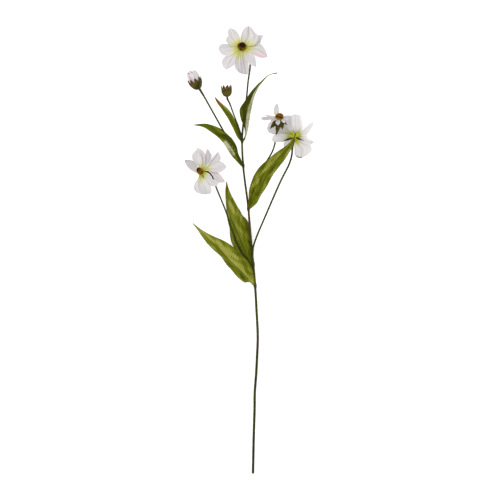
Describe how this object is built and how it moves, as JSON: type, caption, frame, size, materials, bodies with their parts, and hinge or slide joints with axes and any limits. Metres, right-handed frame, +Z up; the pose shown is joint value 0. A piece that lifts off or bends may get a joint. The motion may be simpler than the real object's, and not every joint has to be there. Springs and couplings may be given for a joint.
{
  "type": "cosmos flower spray",
  "caption": "Cut cosmos spray lying flat: a slender branching stem with lance-shaped leaves, open white blooms with golden eyes, and closed buds.",
  "frame": {"origin": "on the surface that the spray lies on, under the middle of its length and width", "axes": "+Y runs from the cut end of the stem to the top bloom, +Z up from the surface, +X to the side of the nodding bloom"},
  "size_m": [0.2012, 0.703, 0.0602],
  "materials": {
    "stem": "satin green with a brownish blush",
    "leaf": "soft olive green with a paler midrib and underside",
    "petal": "thin soft white with a yellow-green base and faint pink edges",
    "disc": "rough golden-brown florets",
    "calyx": "matte dark olive green"
  },
  "bodies": {
    "root": {"stem": "stem", "leaf_lower_left": "leaf", "leaf_middle_left": "leaf", "leaf_right": "leaf", "leaf_upper_left": "leaf", "leaf_top_left": "leaf", "leaf_top_right": "leaf", "bloom_top_petals": "petal", "bloom_top_disc": "disc", "bloom_top_calyx": "calyx", "bloom_left_petals": "petal", "bloom_left_disc": "disc", "bloom_left_calyx": "calyx", "bloom_young_petals": "petal", "bloom_young_disc": "disc", "bloom_young_calyx": "calyx", "bloom_back_petals": "petal", "bloom_back_disc": "disc", "bloom_back_calyx": "calyx", "bud_white_petals": "petal", "bud_white_calyx": "calyx", "bud_green_petals": "petal", "bud_green_calyx": "calyx"}
  },
  "joints": []
}
